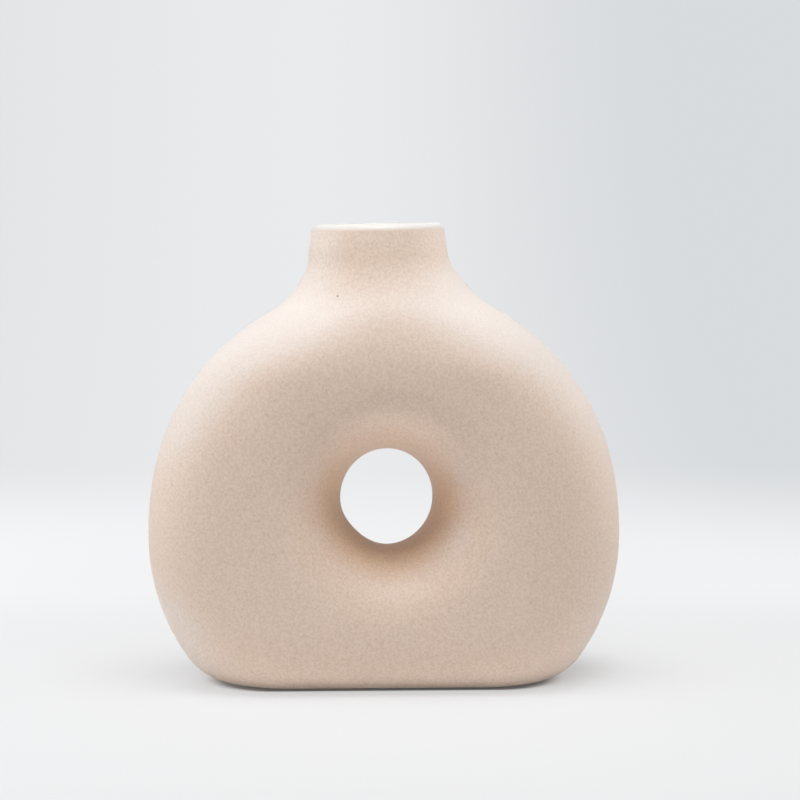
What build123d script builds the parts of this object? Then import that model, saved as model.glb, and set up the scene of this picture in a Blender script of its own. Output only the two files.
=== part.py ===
from build123d import *
import math
import os

# A ring-shaped stoneware flower vase: a flat-faced hollow body with a flared hole right through it,
# a short round neck and a white glazed inside. The origin is on the table under the middle of the body.
# +Z is up and the front faces -Y. All lengths are in millimetres.

# Clay and glaze
WALL = 5.0
GLAZE = 0.5

# Outline seen from the front: tangent arcs from the foot up to the neck
HALF_WIDTH = 103.3
WIDEST_ABOVE_BASE = 63.2
FOOT_CORNER_RADIUS = 22.5
LOWER_SIDE_RADIUS = 92.5
UPPER_SIDE_RADIUS = 150.0
UPPER_SIDE_RISE = 25.0
SHOULDER_RADIUS = 103.0
NECK_SWEEP_RADIUS = 37.7

# Neck
NECK_RADIUS = 29.6
NECK_STRAIGHT = 1.65
NECK_LEAN = 3.3

# Outline seen from the side
HALF_DEPTH = 46.0
FOOT_TUCK = 18.5
FRONT_BEND_SHARE = 0.54

# Flared hole through the body
THROAT_RADIUS = 20.5
THROAT_ABOVE_BASE = 79.9
FLARE_REACH = 32.0
FLAT_MARGIN = 1.0

# Slab that closes the underside
SLAB_INSET = 3.0

# Rubber pads under the slab, set in from its ends and its long sides
PAD_RADIUS = 6.0
PAD_THICKNESS = 1.2
PAD_END_GAP = 11.0
PAD_SIDE_GAP = 4.0

# Joint between the shells and the neck, as a share of the rise from the flat face to the neck's top
NECK_JOINT_SHARE = 0.62

# Shares of the same rise between which the neck drifts off the body's middle
LEAN_SHARES = (0.35, 0.97)

# Half the angle of the front arc where a section has become a circle
CIRCLE_TURN = 45.0

# Numbers of sections in the three stacked lofts
FOOT_SECTIONS = 8
FLAT_SECTIONS = 9
SHOULDER_SECTIONS = 12

OVERRUN = 2.0

# Places that follow from the sizes above
BASE_Z = PAD_THICKNESS
WIDEST_Z = BASE_Z + WIDEST_ABOVE_BASE
THROAT_Z = BASE_Z + THROAT_ABOVE_BASE
CREST_RADIUS = THROAT_RADIUS + FLARE_REACH
FLAT_BOTTOM_Z = THROAT_Z - CREST_RADIUS - FLAT_MARGIN
FLAT_TOP_Z = THROAT_Z + CREST_RADIUS + FLAT_MARGIN
FOOT_HALF_DEPTH = HALF_DEPTH - FOOT_TUCK

# Centres of the outline's arcs
LOWER_X = HALF_WIDTH - LOWER_SIDE_RADIUS
CORNER_Z = BASE_Z + FOOT_CORNER_RADIUS
CORNER_DROP = (WIDEST_Z - CORNER_Z) / (LOWER_SIDE_RADIUS - FOOT_CORNER_RADIUS)
CORNER_X = LOWER_X + (LOWER_SIDE_RADIUS - FOOT_CORNER_RADIUS) * math.sqrt(1 - CORNER_DROP**2)
UPPER_X = HALF_WIDTH - UPPER_SIDE_RADIUS
UPPER_SINE = UPPER_SIDE_RISE / UPPER_SIDE_RADIUS
SHOULDER_X = UPPER_X + (UPPER_SIDE_RADIUS - SHOULDER_RADIUS) * math.sqrt(1 - UPPER_SINE**2)
SHOULDER_Z = WIDEST_Z + (UPPER_SIDE_RADIUS - SHOULDER_RADIUS) * UPPER_SINE
SWEEP_X = NECK_RADIUS + NECK_SWEEP_RADIUS
SWEEP_REACH = SHOULDER_RADIUS + NECK_SWEEP_RADIUS
NECK_TOP_Z = SHOULDER_Z + math.sqrt(SWEEP_REACH**2 - (SWEEP_X - SHOULDER_X) ** 2)
SHOULDER_SINE = (NECK_TOP_Z - SHOULDER_Z) / SWEEP_REACH

# The front's two arcs above the flat face, bulging out and then in, and the neck's joint
BEND_RISE = NECK_TOP_Z - FLAT_TOP_Z
BEND_TRAVEL = HALF_DEPTH - NECK_RADIUS
BEND_REACH = (BEND_RISE**2 + BEND_TRAVEL**2) / (2 * BEND_TRAVEL)
BULGE_RADIUS = BEND_REACH * FRONT_BEND_SHARE
HOLLOW_RADIUS = BEND_REACH - BULGE_RADIUS
NECK_JOINT_Z = FLAT_TOP_Z + BEND_RISE * NECK_JOINT_SHARE

# Half the slab's length and depth
SLAB_HALF_LENGTH = CORNER_X - SLAB_INSET
SLAB_HALF_DEPTH = FOOT_HALF_DEPTH - SLAB_INSET

# The lip is a half round over the wall and the glaze
LIP_Z = NECK_TOP_Z + NECK_STRAIGHT
LIP_RADIUS = (WALL + GLAZE) / 2
LIP_MIDDLE = NECK_RADIUS - LIP_RADIUS
NECK_AXIS = Axis((-NECK_LEAN, 0, 0), (0, 0, 1))


def chord(radius, offset):
    """Half the chord of a circle at an offset from its centre."""
    return math.sqrt(max(0, radius**2 - offset**2))


def half_width(z, inset):
    """Half the body's width at a height, on the outline set in by an inset."""
    arcs = (
        (CORNER_X, CORNER_Z, FOOT_CORNER_RADIUS - inset, 1, -CORNER_DROP),
        (LOWER_X, WIDEST_Z, LOWER_SIDE_RADIUS - inset, 1, 0),
        (UPPER_X, WIDEST_Z, UPPER_SIDE_RADIUS - inset, 1, UPPER_SINE),
        (SHOULDER_X, SHOULDER_Z, SHOULDER_RADIUS - inset, 1, SHOULDER_SINE),
        (SWEEP_X, NECK_TOP_Z, NECK_SWEEP_RADIUS + inset, -1, 0),
    )
    for centre_x, centre_z, radius, side, end_sine in arcs:
        if z <= centre_z + radius * end_sine:
            break
    return centre_x + side * chord(radius, z - centre_z)


def half_depth(z, inset):
    """Half the body's depth at a height: tucked under at the foot, flat, then bent in to the neck."""
    if z < FLAT_BOTTOM_Z:
        drop_share = (FLAT_BOTTOM_Z - z) / (FLAT_BOTTOM_Z - BASE_Z - inset)
        return FOOT_HALF_DEPTH + (FOOT_TUCK - inset) * chord(1, drop_share)
    if z <= FLAT_TOP_Z:
        return HALF_DEPTH - inset
    if z <= FLAT_TOP_Z + (BULGE_RADIUS - inset) * BEND_RISE / BEND_REACH:
        return HALF_DEPTH - BULGE_RADIUS + chord(BULGE_RADIUS - inset, z - FLAT_TOP_Z)
    return NECK_RADIUS + HOLLOW_RADIUS - chord(HOLLOW_RADIUS + inset, NECK_TOP_Z - z)


def ease(value, start, end):
    """Smooth step from 0 at start to 1 at end."""
    share = min(1, max(0, (value - start) / (end - start)))
    return (1 - math.cos(math.pi * share)) / 2


def section(z, inset):
    """Horizontal section of the body: flat faces with round ends low down, a four-arc oval higher up."""
    width = half_width(z, inset)
    depth = half_depth(z, inset)
    rise_share = (z - FLAT_TOP_Z) / BEND_RISE
    lean = -NECK_LEAN * ease(rise_share, *LEAN_SHARES)
    turn = math.radians(CIRCLE_TURN) * ease(rise_share, 0, 1)
    if turn > 0:
        offset = (width - depth) / (math.sin(turn) + math.cos(turn) - 1)
        end_middle = offset * math.sin(turn)
        end_radius = width - end_middle
        corner_x = end_middle + end_radius * math.sin(turn)
        corner_y = end_radius * math.cos(turn)
        left_x = lean - corner_x
        right_x = lean + corner_x
        front = ThreePointArc((left_x, -corner_y, z), (lean, -depth, z), (right_x, -corner_y, z))
        back = ThreePointArc((right_x, corner_y, z), (lean, depth, z), (left_x, corner_y, z))
        right = ThreePointArc(front @ 1, (lean + width, 0, z), back @ 0)
        left = ThreePointArc(back @ 1, (lean - width, 0, z), front @ 0)
    else:
        flat = chord(CREST_RADIUS + FLAT_MARGIN, z - THROAT_Z)
        reach = min(depth, width - flat)
        straight = width - reach
        front = Line((-straight, -depth, z), (straight, -depth, z))
        back = Line((straight, depth, z), (-straight, depth, z))
        right = EllipticalCenterArc((straight, 0, z), reach, depth, -90, arc_size=180)
        left = EllipticalCenterArc((-straight, 0, z), reach, depth, 90, arc_size=180)
    return make_face(Wire([front, right, back, left]))


def body_form(inset):
    """The body's outer form set in by an inset, from its flat underside to the top of the neck."""
    foot_rise = FLAT_BOTTOM_Z - BASE_Z - inset
    foot_steps = [i / (FOOT_SECTIONS - 1) for i in range(FOOT_SECTIONS)]
    flat_steps = [i / (FLAT_SECTIONS - 1) for i in range(FLAT_SECTIONS)]
    shoulder_steps = [i / (SHOULDER_SECTIONS - 1) for i in range(SHOULDER_SECTIONS)]
    foot_heights = [FLAT_BOTTOM_Z - foot_rise * math.cos(step * math.pi / 2) for step in foot_steps]
    flat_heights = [FLAT_BOTTOM_Z + (FLAT_TOP_Z - FLAT_BOTTOM_Z) * step for step in flat_steps]
    shoulder_heights = [FLAT_TOP_Z + BEND_RISE * step for step in shoulder_steps]
    form = None
    for heights in (foot_heights, flat_heights, shoulder_heights):
        stage = loft([section(z, inset) for z in heights])
        form = stage if form is None else form + stage
    return form


def tunnel_turned(outline):
    """Solid of revolution about the hole's axis, from an outline of radius against depth."""
    turned = revolve(Plane.XZ * make_face(outline), Axis.Z)
    return Pos(0, 0, THROAT_Z) * Rot(90, 0, 0) * turned


def crest_drum(half_length):
    """Solid drum as wide as the flare's crest, centred in the hole."""
    return Pos(0, 0, THROAT_Z) * Rot(90, 0, 0) * Cylinder(CREST_RADIUS, 2 * half_length)


def flare_arc(inset):
    """Half ellipse of the flared hole, from crest to throat to crest, set back by an inset."""
    return EllipticalCenterArc((CREST_RADIUS, 0), FLARE_REACH - inset, HALF_DEPTH - inset, 90, arc_size=180)


def cavity(inset):
    """Room inside the body form set in by an inset: it runs all round the flared hole."""
    back = flare_arc(inset)
    behind_flare = tunnel_turned(Wire([back, Line(back @ 1, back @ 0)]))
    return body_form(inset) - crest_drum(HALF_DEPTH) + behind_flare


def slab_solid(low, height):
    """Flat-sided slab with round ends, set in from the edge of the flat underside."""
    plan = SlotOverall(2 * SLAB_HALF_LENGTH, 2 * SLAB_HALF_DEPTH)
    return Pos(0, 0, low) * extrude(plan, height)


def lip_arc(inset):
    """Half round over the lip, set in from the glaze's surface by an inset."""
    radius = LIP_RADIUS - inset
    inner = (LIP_MIDDLE - radius, LIP_Z)
    outer = (LIP_MIDDLE + radius, LIP_Z)
    return ThreePointArc(inner, (LIP_MIDDLE, LIP_Z + radius), outer)


def neck_turned(edges):
    """Solid of revolution about the neck's own axis, from the edges of a closed profile."""
    profile = Plane.XZ * make_face(Wire(edges))
    return revolve(Pos(-NECK_LEAN, 0, 0) * profile, NECK_AXIS)


def make_body_wall():
    """Wall of the whole body and neck, without the slab and the flared hole."""
    wall = body_form(0) - body_form(WALL)
    wall -= slab_solid(BASE_Z - OVERRUN, WALL + 2 * OVERRUN)
    return wall - crest_drum(HALF_DEPTH + OVERRUN)


def make_front_shell(wall):
    """Front half of the body wall, from the underside to the neck's joint."""
    body = split(wall, Plane.XY.offset(NECK_JOINT_Z), Keep.BOTTOM)
    return split(body, Plane.XZ, Keep.TOP)


def make_neck_collar(wall):
    """Neck above its joint, with a half-round lip and a ledge where the glaze ends flush."""
    crown = lip_arc(GLAZE)
    inner_foot = ((crown @ 0).X, NECK_TOP_Z)
    outside = Polyline(crown @ 1, (NECK_RADIUS, LIP_Z), (NECK_RADIUS, NECK_TOP_Z), inner_foot, crown @ 0)
    lip = neck_turned(crown.edges() + outside.edges())
    return split(wall, Plane.XY.offset(NECK_JOINT_Z), Keep.TOP) + lip


def make_tunnel_sleeve():
    """Trumpet wall of the hole, tangent to the flat faces at its crest."""
    front = flare_arc(0)
    back = flare_arc(WALL)
    return tunnel_turned(Wire([front, Line(front @ 1, back @ 1), back, Line(back @ 0, front @ 0)]))


def make_liner_glaze():
    """Glaze over all of the inside, up the neck and out over the lip."""
    skin = lip_arc(0)
    bed = lip_arc(GLAZE)
    bed_foot = ((bed @ 0).X, NECK_TOP_Z)
    skin_foot = ((skin @ 0).X, NECK_TOP_Z)
    inside = Polyline(bed @ 0, bed_foot, skin_foot, skin @ 0)
    lip = neck_turned(skin.edges() + Line(skin @ 1, bed @ 1).edges() + bed.edges() + inside.edges())
    return cavity(WALL) - cavity(WALL + GLAZE) + lip


def make_foot_pads():
    """Four rubber discs near the ends of the slab."""
    spacing_x = 2 * (SLAB_HALF_LENGTH - PAD_END_GAP - PAD_RADIUS)
    spacing_y = 2 * (SLAB_HALF_DEPTH - PAD_SIDE_GAP - PAD_RADIUS)
    pad = Pos(0, 0, PAD_THICKNESS / 2) * Cylinder(PAD_RADIUS, PAD_THICKNESS)
    return [spot * pad for spot in GridLocations(spacing_x, spacing_y, 2, 2)]


def main():
    wall = make_body_wall()
    front_shell = make_front_shell(wall)
    nodes = {
        "front_shell": front_shell,
        "rear_shell": mirror(front_shell, Plane.XZ),
        "tunnel_sleeve": make_tunnel_sleeve(),
        "neck_collar": make_neck_collar(wall),
        "base_slab": slab_solid(BASE_Z, WALL),
        "liner_glaze": make_liner_glaze(),
    }
    for number, pad in enumerate(make_foot_pads(), start=1):
        nodes[f"foot_pad_{number}"] = pad
    os.makedirs("parts", exist_ok=True)
    for name, shape in nodes.items():
        export_step(shape, f"parts/{name}.step")


if __name__ == "__main__":
    main()
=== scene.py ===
import math
from typing import NamedTuple

import bmesh
import bpy
import numpy as np
from bpy.props import FloatProperty, FloatVectorProperty, IntProperty, PointerProperty
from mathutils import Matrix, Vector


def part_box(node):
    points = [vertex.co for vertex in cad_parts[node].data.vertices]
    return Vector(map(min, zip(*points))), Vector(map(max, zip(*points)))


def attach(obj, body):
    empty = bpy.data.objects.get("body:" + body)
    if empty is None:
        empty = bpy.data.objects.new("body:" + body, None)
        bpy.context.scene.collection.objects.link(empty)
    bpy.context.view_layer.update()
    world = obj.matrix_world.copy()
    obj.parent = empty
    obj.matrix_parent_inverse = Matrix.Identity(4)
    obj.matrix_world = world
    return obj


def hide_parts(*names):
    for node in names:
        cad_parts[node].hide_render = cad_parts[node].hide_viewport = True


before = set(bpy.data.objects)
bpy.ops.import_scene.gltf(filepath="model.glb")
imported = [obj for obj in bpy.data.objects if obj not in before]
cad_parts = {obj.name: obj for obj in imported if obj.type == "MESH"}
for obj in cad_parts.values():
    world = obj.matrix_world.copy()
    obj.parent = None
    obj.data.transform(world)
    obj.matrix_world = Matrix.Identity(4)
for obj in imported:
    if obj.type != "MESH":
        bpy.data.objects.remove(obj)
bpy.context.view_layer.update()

bl_info = {
    "name": "Ring Vase",
    "version": (1, 0, 0),
    "blender": (4, 5, 0),
    "location": "View3D > Sidebar > Vase",
    "description": "Dresses a stoneware flower vase with a flared hole through it",
    "category": "Object",
}

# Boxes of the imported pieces, which the sizes below start from
SHELL_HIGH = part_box("front_shell")[1]
SLEEVE_LOW, SLEEVE_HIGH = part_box("tunnel_sleeve")
SLAB_LOW, SLAB_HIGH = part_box("base_slab")
PAD_NODES = [f"foot_pad_{number}" for number in range(1, 5)]
IMAGE_PIXELS = 800


def length(name, default, description):
    """A length property in metres."""
    return FloatProperty(name=name, default=default, description=description, unit="LENGTH", precision=5)


def share(name, default, description):
    """A plain number property."""
    return FloatProperty(name=name, default=default, description=description, precision=4)


def levels(name, default, description):
    """A pair of noise levels: where something starts to show, and where it shows in full."""
    return FloatVectorProperty(name=name, default=default, description=description, size=2)


def angle(name, default, description):
    """An angle property, given in degrees."""
    return FloatProperty(name=name, default=math.radians(default), description=description, subtype="ANGLE")


def count(name, default, description):
    """A count property."""
    return IntProperty(name=name, default=default, description=description, min=2)


def colour(name, default, description):
    """A linear colour property."""
    return FloatVectorProperty(name=name, default=default, description=description, subtype="COLOR", size=3)


class VaseSizes(bpy.types.PropertyGroup):
    """Sizes of the vase's solids, the slight unevenness of handwork, and the fineness of the meshes."""

    # Sizes of the solids
    base: length("Base height", SLAB_LOW.z, "Height of the underside above the table")
    wall: length("Wall", SLAB_HIGH.z - SLAB_LOW.z, "Thickness of the clay")
    glaze: length("Glaze", 0.0005, "Thickness of the white glaze inside")
    half_width: length("Half width", SHELL_HIGH.x, "Half the body's width")
    widest: length("Widest height", 0.0632, "Height of the widest place above the base")
    foot_corner: length("Foot corner", 0.0225, "Radius of the outline beside the base")
    lower_side: length("Lower side", 0.0925, "Radius of the outline below the widest place")
    upper_side: length("Upper side", 0.150, "Radius of the outline above the widest place")
    upper_rise: length("Upper rise", 0.025, "Height of the upper side's arc")
    shoulder: length("Shoulder", 0.103, "Radius of the shoulder")
    neck_sweep: length("Neck sweep", 0.0377, "Radius of the hollow between shoulder and neck")
    neck: length("Neck", 0.0296, "Outer radius of the neck")
    neck_straight: length("Straight neck", 0.00165, "Straight length of the neck below its lip")
    neck_lean: length("Neck lean", 0.0033, "How far the neck stands left of the middle")
    lean_start_share: share("Lean start", 0.35, "Share of the rise where the neck starts to lean")
    lean_end_share: share("Lean end", 0.97, "Share of the rise where the neck stops leaning")
    half_depth: length("Half depth", SLEEVE_HIGH.y, "Half the body's depth")
    foot_tuck: length("Foot tuck", 0.0185, "How far the faces are tucked in at the foot")
    bend_share: share("Bend share", 0.54, "Share of the outward bend in the front above the flat face")
    throat: length("Throat", 0.0205, "Radius of the hole at its narrowest")
    throat_z: length("Throat height", (SLEEVE_LOW.z + SLEEVE_HIGH.z) / 2, "Height of the hole's axis")
    crest: length("Crest", SLEEVE_HIGH.x, "Radius where the flare runs out into the flat face")
    flat_margin: length("Flat margin", 0.001, "Flat face past the flare, above and below")
    slab_length: length("Half slab length", SLAB_HIGH.x, "Half the length of the base slab")
    slab_depth: length("Half slab depth", SLAB_HIGH.y, "Half the depth of the base slab")

    # Softened edges and the unevenness of handwork
    slab_edge: length("Slab edge", 0.0004, "Width of the softened edge of the base slab")
    pad_edge: length("Pad edge", 0.0003, "Radius of the rounded edges of a rubber pad")
    lip_tilt: angle("Lip tilt", 1.05, "How far the lip is down at the left")
    neck_taper: length("Neck taper", 0.00065, "How much narrower the neck gets towards its lip")
    taper_start: length("Taper start", 0.187, "Height where the neck starts to get narrower")
    neck_hollow: length("Neck hollow", 0.0008, "How much deeper the hollows at the sides of the neck are")
    hollow_z: length("Hollow height", 0.1815, "Height of the deepest place of those hollows")
    hollow_reach: length("Hollow reach", 0.009, "Reach of those hollows, up and down")
    throat_growth: length("Throat growth", 0.0004, "How much wider than its size the hole is")
    throat_stretch: length("Throat stretch", 0.0006, "How much taller than round the hole is")
    throat_right: length("Throat right", 0.0008, "How far the narrowest place sits right of the middle")
    throat_down: length("Throat down", 0.0004, "How far the narrowest place sits below the middle")
    throat_dent: length("Throat dent", 0.0011, "Depth of the flattened place in the hole's lower left")
    dent_angle: angle("Dent place", 232.0, "Where the flattened place is, from the right by the top")
    dent_width: angle("Dent width", 48.0, "Half the width of the flattened place")

    # Fineness of the meshes
    front_count: count("Front points", 40, "Spans along the front and along the back")
    end_count: count("End points", 32, "Spans round each end")
    foot_count: count("Foot rows", 14, "Rows up the rounded foot")
    band_count: count("Band rows", 24, "Rows up the flat face")
    shoulder_count: count("Shoulder rows", 34, "Rows up the shoulder and neck")
    face_count: count("Face rings", 4, "Rings between the flat face's edge and the flare")
    flare_count: count("Flare rings", 36, "Rings through the flared hole")
    lip_count: count("Lip rows", 12, "Rows over the half-round lip")
    pad_count: count("Pad points", 48, "Spans round a rubber pad")
    pad_edge_count: count("Pad edge rows", 4, "Rows round the edge of a rubber pad")
    crease: angle("Crease", 50.0, "Bend past which an edge looks sharp")
    slab_crease: angle("Slab crease", 30.0, "Bend past which an edge of the base slab looks sharp")


class VaseFinish(bpy.types.PropertyGroup):
    """Colours, grain and shine of the clay, the glaze and the rubber."""

    # Colours
    clay: colour("Clay", (0.925, 0.735, 0.605), "Blush stoneware with its matte glaze")
    clay_dark: colour("Sand", (0.53, 0.30, 0.13), "Dark sand grains in the clay")
    clay_light: colour("Chalk", (0.95, 0.82, 0.73), "Pale patches in the clay")
    # Painted highlight: a paler, greyer tone on what faces up high on the body
    painted_highlight: colour("Bloom", (0.766, 0.70, 0.66), "Ashy bloom on the upper side of the shoulder")
    # Painted edge light: a whitish sheen at the ends, the neck's sides and the hole's lower edge
    painted_edge_light: colour("Frost", (0.99, 0.95, 0.91), "Thin frost on the sloping ends and the hole's lower edge")
    # Painted bounce light: a warmer, deeper tone inside the hole
    hollow: colour("Hollow", (1.0, 0.76, 0.56), "Deeper blush inside the hole")
    # Paler clay just below the lip, and painted bounce light from the floor on what faces down
    pale: colour("Pale clay", (1.0, 0.82, 0.69), "Paler clay below the lip and on what faces down")
    iron: colour("Iron", (0.10, 0.06, 0.04), "Iron speck in the clay")
    bare_clay: colour("Bare clay", (0.74, 0.60, 0.50), "Unglazed clay of the base slab")
    white: colour("White glaze", (0.70, 0.68, 0.645), "White glaze inside and over the lip")
    thin: colour("Thin glaze", (0.86, 0.735, 0.64), "White glaze at its edge, where the clay shows through")
    rubber: colour("Rubber", (0.035, 0.032, 0.030), "Dark rubber of the pads")

    # Grain and shine of the clay
    grain: length("Grain", 0.00105, "Spacing of the sand grains")
    sand_levels: levels("Sand levels", (0.30, 0.70), "Noise levels where a sand grain starts and is full")
    sand_share: share("Sand", 0.17, "How strongly the sand grains show")
    grit: length("Grit", 0.001365, "Spacing of the scattered dark grains")
    grit_levels: levels("Grit levels", (0.62, 0.80), "Noise levels where such a grain starts and is full")
    grit_share: share("Grit strength", 0.12, "How strongly the scattered dark grains show")
    mottle: length("Mottle", 0.009, "Spacing of the soft patches of tone")
    chalk_share: share("Chalk strength", 0.16, "How strongly the pale patches show")
    relief: length("Relief", 0.0002625, "Height of the grains on the surface")
    relief_share: share("Relief strength", 0.10, "How strongly the grains' height shows")
    grit_relief: share("Grit relief", 0.6, "Height of the scattered grains beside that of the sand")
    clay_roughness: share("Clay roughness", 0.50, "Roughness of the matte glaze on the clay")
    mottle_roughness: share("Mottle roughness", 0.12, "How much rougher the pale patches are")
    sand_smoothness: share("Sand smoothness", 0.1, "How much smoother the sand grains are")
    clay_shine: share("Clay shine", 0.50, "Specular level of the matte glaze on the clay")
    clay_sheen: share("Clay sheen", 0.15, "Strength of the powdery surface's pale sheen at its edges")
    sheen_roughness: share("Sheen roughness", 0.30, "How far the pale sheen spreads from the edges")

    # Where painted highlights, edge light and bounce light show on the clay, where it is paler below the
    # lip, and the iron speck
    # Place and lean of the painted highlight, and how much of the grain it hides
    highlight_low: length("Bloom start", 0.07, "Height where the bloom starts")
    highlight_high: length("Bloom end", 0.12, "Height where the bloom is full")
    highlight_cover: share("Bloom cover", 0.4, "Share of the dark grains that the bloom hides")
    highlight_steep: share("Bloom steepness", 0.1, "Upward lean of the surface where the bloom starts")
    highlight_level: share("Bloom level", 0.8, "Upward lean of the surface where the bloom is full")
    # Strength and lean of the painted edge light
    edge_light_left: share("Left frost", 0.40, "How strongly the frost shows on the left end")
    edge_light_right: share("Right frost", 0.14, "How strongly the frost shows on the right end")
    edge_light_up: share("Upper frost", 0.14, "How strongly the frost shows on the hole's lower edge")
    edge_light_start: share("Frost start", 0.35, "Lean of the surface where the frost starts")
    edge_light_full: share("Frost full", 0.80, "Lean of the surface where the frost is full")
    edge_light_slope: share("Frost slope", 0.30, "Slope of an end, up or down, where the frost is full")
    edge_light_level: share("Frost level", 0.12, "Share of the frost that shows where an end is upright")
    # Reach of the painted bounce light in the hole
    bounce_edge: length("Hollow edge", 0.035, "Distance from the hole's axis where the blush deepens")
    bounce_full: length("Hollow full", 0.024, "Distance from the hole's axis where it is deepest")
    lip_share: share("Pale lip", 0.9, "How strongly the paler clay shows just below the lip")
    lip_reach: length("Pale lip reach", 0.012, "How far below the lip the paler clay ends")
    # Painted bounce light from the floor on what faces down
    floor_bounce_share: share("Pale underside", 0.8, "How strongly the paler clay shows on what faces down")
    floor_bounce_start: share("Underside start", 0.3, "Downward lean of the surface where it starts to be paler")
    floor_bounce_end: share("Underside end", 0.8, "Downward lean of the surface where it is palest")
    speck_x: length("Speck X", -0.0216, "Place of the iron speck across the front")
    speck_z: length("Speck Z", 0.1697, "Height of the iron speck")
    speck: length("Speck", 0.00058, "Radius of the iron speck")
    speck_core: length("Speck core", 0.00029, "Radius of the iron speck's darkest part")
    speck_share: share("Speck strength", 0.65, "How strongly the iron speck shows")

    # The white glaze
    thin_start: length("Thin glaze start", 0.0004, "Height above its edge where it starts to hide the clay")
    thin_end: length("Thin glaze end", 0.0016, "Height above its edge where it hides the clay")
    outside_share: share("Lip outside", 0.4, "Share of the lip's radius in which the thin edge fades out")
    wave: length("Wave", 0.006, "Spacing of the waves in the glaze's edge")
    wave_height: length("Wave height", 0.0012, "How far the glaze's edge wanders up and down")
    pool: length("Pool", 0.02, "Spacing of the places where the glaze has pooled")
    pool_share: share("Pool strength", 0.12, "How strongly the pooled places show")
    fleck: length("Fleck", 0.0021, "Spacing of the flecks in the glaze")
    fleck_levels: levels("Fleck levels", (0.66, 0.80), "Noise levels where a fleck starts and is full")
    fleck_share: share("Fleck strength", 0.12, "How strongly the flecks show")
    glaze_relief: length("Glaze relief", 0.0004, "Height of the pooled places")
    glaze_relief_share: share("Glaze relief strength", 0.2, "How strongly the pooled places' height shows")
    glaze_roughness: share("Glaze roughness", 0.40, "Roughness of the white glaze")
    pool_roughness: share("Pool roughness", 0.1, "How much rougher the pooled places are")
    glaze_coat: share("Glaze coat", 0.10, "Strength of the clear coat on the white glaze")
    coat_roughness: share("Coat roughness", 0.15, "Roughness of that clear coat")

    # The bare slab and the rubber pads
    slab_grain: length("Slab grain", 0.00147, "Spacing of the open sand in the bare clay")
    slab_levels: levels("Slab levels", (0.55, 0.75), "Noise levels where an open grain starts and is full")
    slab_sand: share("Slab sand", 0.6, "How strongly the open sand shows")
    slab_mottle: length("Slab mottle", 0.0135, "Spacing of the soft patches in the bare clay")
    slab_chalk: share("Slab chalk", 0.3, "How strongly those patches show")
    slab_relief: length("Slab relief", 0.00042, "Height of the open sand")
    slab_relief_share: share("Slab relief strength", 0.5, "How strongly the open sand's height shows")
    slab_roughness: share("Slab roughness", 0.85, "Roughness of the bare clay")
    slab_unevenness: share("Slab unevenness", 0.1, "How much rougher its patches are")
    tooth: length("Tooth", 0.00105, "Spacing of the fine tooth of the rubber")
    tooth_relief: length("Tooth relief", 0.00021, "Height of that tooth")
    tooth_relief_share: share("Tooth relief strength", 0.4, "How strongly the tooth's height shows")
    dust: length("Dust", 0.0036, "Spacing of the dusty patches on the rubber")
    dust_levels: levels("Dust levels", (0.45, 0.80), "Noise levels where a dusty patch starts and is full")
    dust_share: share("Dust strength", 0.25, "How strongly the dusty patches show")
    rubber_roughness: share("Rubber roughness", 0.75, "Roughness of the rubber")
    dust_roughness: share("Dust roughness", 0.2, "How much rougher the dusty patches are")
    dull_shine: share("Dull shine", 0.3, "Specular level of the bare clay and the rubber")


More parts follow.
